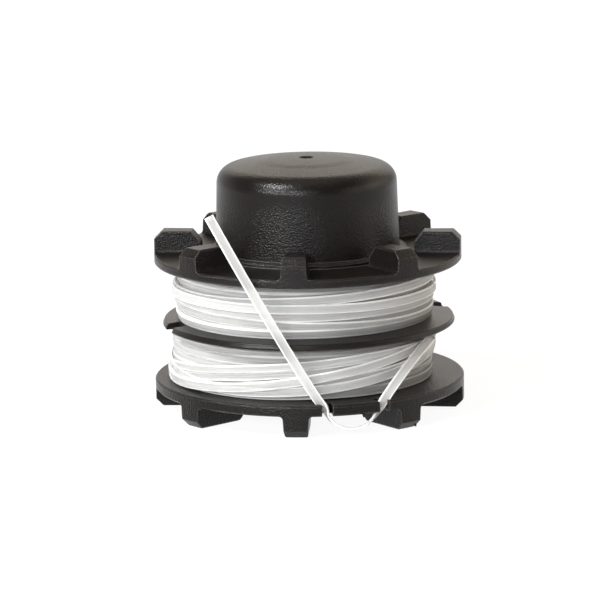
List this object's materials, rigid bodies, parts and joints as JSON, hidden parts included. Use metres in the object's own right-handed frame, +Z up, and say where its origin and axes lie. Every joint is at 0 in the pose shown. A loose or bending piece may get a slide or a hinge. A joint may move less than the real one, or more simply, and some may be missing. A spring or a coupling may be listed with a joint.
{
  "type": "trimmer line spool",
  "caption": "Black moulded bump-knob spool for a grass trimmer, wound with white flat nylon line in two channels.",
  "frame": {"origin": "on the spool's axis, in the plane of the lower lugs' feet, where the spool stands", "axes": "+Z up the spool's axis to the bump knob, -Y through the front lug, +X to the right of it"},
  "size_m": [0.0666, 0.0668, 0.0541],
  "materials": {
    "black_moulding": "spark-eroded satin",
    "nylon_line": "extruded satin"
  },
  "bodies": {
    "root": {"spool_body": "black_moulding", "upper_line_winding": "nylon_line", "lower_line_winding": "nylon_line", "line_free_end": "nylon_line"}
  },
  "joints": []
}
